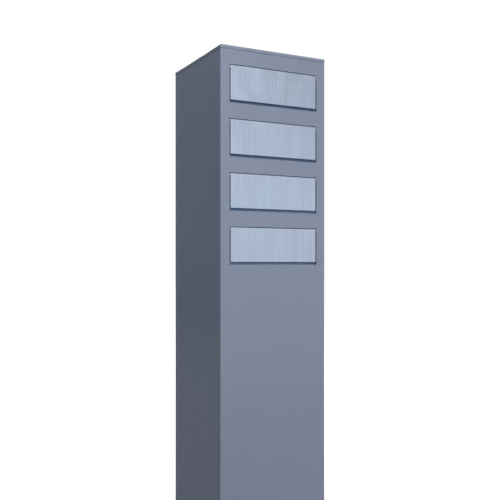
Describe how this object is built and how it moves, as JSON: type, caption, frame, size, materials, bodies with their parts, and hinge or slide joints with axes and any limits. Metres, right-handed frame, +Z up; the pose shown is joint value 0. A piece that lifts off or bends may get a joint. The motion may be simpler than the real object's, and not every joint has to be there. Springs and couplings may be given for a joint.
{
  "type": "cluster mailbox unit",
  "caption": "Free-standing square sheet-steel mailbox column with stacked stainless letter flaps on the front and locked collection doors at the rear.",
  "frame": {"origin": "centre of the base plate's underside", "axes": "+Z up the column; the flaps face -Y and the doors face +Y; +X is to the right when facing the flaps"},
  "size_m": [0.4012, 0.4026, 1.7],
  "materials": {
    "painted_steel": "blue-grey metallic powder coat, fine texture, satin",
    "recess_painted_steel": "blue powder coat, matt, inside the letter recesses",
    "brushed_stainless": "vertical brushed grain, satin",
    "galvanised_sheet": "bare galvanised sheet, soft spangle",
    "zinc_steel": "clear zinc plate, satin",
    "stainless_fastener": "drawn stainless, satin",
    "nickel_plated": "nickel plate, polished, light handling wear",
    "white_nylon": "natural nylon, matt",
    "black_rubber": "moulded rubber, matt"
  },
  "bodies": {
    "column": {"base_plate": "painted_steel", "front_panel": "painted_steel", "left_side_panel": "painted_steel", "right_side_panel": "painted_steel", "hinge_post": "painted_steel", "strike_post": "painted_steel", "rear_header": "painted_steel", "ceiling_pan": "painted_steel", "top_lid": "painted_steel", "lid_nuts": "zinc_steel", "pedestal_cover": "painted_steel", "cover_standoffs": "zinc_steel", "cover_screws": "stainless_fastener", "flap_hinge_rods": "stainless_fastener", "flap_spacers": "white_nylon", "flap_bumpers": "black_rubber", "door_bumpers": "black_rubber", "door_hinge_pins": "stainless_fastener", "compartment_floor_1": "galvanised_sheet", "compartment_floor_2": "galvanised_sheet", "compartment_floor_3": "galvanised_sheet", "compartment_floor_4": "galvanised_sheet", "slot_insert_1": "recess_painted_steel", "slot_insert_2": "recess_painted_steel", "slot_insert_3": "recess_painted_steel", "slot_insert_4": "recess_painted_steel", "letter_guard_1": "recess_painted_steel", "letter_guard_2": "recess_painted_steel", "letter_guard_3": "recess_painted_steel", "letter_guard_4": "recess_painted_steel"},
    "flap_1": {"flap_1": "brushed_stainless"},
    "door_1": {"door_1": "painted_steel", "lock_body_1": "nickel_plated", "lock_nut_1": "zinc_steel"},
    "lock_1": {"lock_plug_1": "nickel_plated", "lock_cam_1": "zinc_steel", "cam_screw_1": "zinc_steel"},
    "flap_2": {"flap_2": "brushed_stainless"},
    "door_2": {"door_2": "painted_steel", "lock_body_2": "nickel_plated", "lock_nut_2": "zinc_steel"},
    "lock_2": {"lock_plug_2": "nickel_plated", "lock_cam_2": "zinc_steel", "cam_screw_2": "zinc_steel"},
    "flap_3": {"flap_3": "brushed_stainless"},
    "door_3": {"door_3": "painted_steel", "lock_body_3": "nickel_plated", "lock_nut_3": "zinc_steel"},
    "lock_3": {"lock_plug_3": "nickel_plated", "lock_cam_3": "zinc_steel", "cam_screw_3": "zinc_steel"},
    "flap_4": {"flap_4": "brushed_stainless"},
    "door_4": {"door_4": "painted_steel", "lock_body_4": "nickel_plated", "lock_nut_4": "zinc_steel"},
    "lock_4": {"lock_plug_4": "nickel_plated", "lock_cam_4": "zinc_steel", "cam_screw_4": "zinc_steel"}
  },
  "joints": [
    {"name": "flap_1_hinge", "type": "hinge", "parent": "column", "child": "flap_1", "pos_m": [0, -0.194, 1.6325], "axis": [-1, 0, 0], "range_deg": [0, 80]},
    {"name": "door_1_hinge", "type": "hinge", "parent": "column", "child": "door_1", "pos_m": [0.173, 0.193, 1.57625], "axis": [0, 0, -1], "range_deg": [0, 100]},
    {"name": "lock_1_turn", "type": "hinge", "parent": "door_1", "child": "lock_1", "pos_m": [-0.15, 0.1795, 1.57625], "axis": [0, 1, 0], "range_deg": [0, 90]},
    {"name": "flap_2_hinge", "type": "hinge", "parent": "column", "child": "flap_2", "pos_m": [0, -0.194, 1.4555], "axis": [-1, 0, 0], "range_deg": [0, 80]},
    {"name": "door_2_hinge", "type": "hinge", "parent": "column", "child": "door_2", "pos_m": [0.173, 0.193, 1.39925], "axis": [0, 0, -1], "range_deg": [0, 100]},
    {"name": "lock_2_turn", "type": "hinge", "parent": "door_2", "child": "lock_2", "pos_m": [-0.15, 0.1795, 1.39925], "axis": [0, 1, 0], "range_deg": [0, 90]},
    {"name": "flap_3_hinge", "type": "hinge", "parent": "column", "child": "flap_3", "pos_m": [0, -0.194, 1.2785], "axis": [-1, 0, 0], "range_deg": [0, 80]},
    {"name": "door_3_hinge", "type": "hinge", "parent": "column", "child": "door_3", "pos_m": [0.173, 0.193, 1.22225], "axis": [0, 0, -1], "range_deg": [0, 100]},
    {"name": "lock_3_turn", "type": "hinge", "parent": "door_3", "child": "lock_3", "pos_m": [-0.15, 0.1795, 1.22225], "axis": [0, 1, 0], "range_deg": [0, 90]},
    {"name": "flap_4_hinge", "type": "hinge", "parent": "column", "child": "flap_4", "pos_m": [0, -0.194, 1.1015], "axis": [-1, 0, 0], "range_deg": [0, 80]},
    {"name": "door_4_hinge", "type": "hinge", "parent": "column", "child": "door_4", "pos_m": [0.173, 0.193, 1.04525], "axis": [0, 0, -1], "range_deg": [0, 100]},
    {"name": "lock_4_turn", "type": "hinge", "parent": "door_4", "child": "lock_4", "pos_m": [-0.15, 0.1795, 1.04525], "axis": [0, 1, 0], "range_deg": [0, 90]}
  ]
}
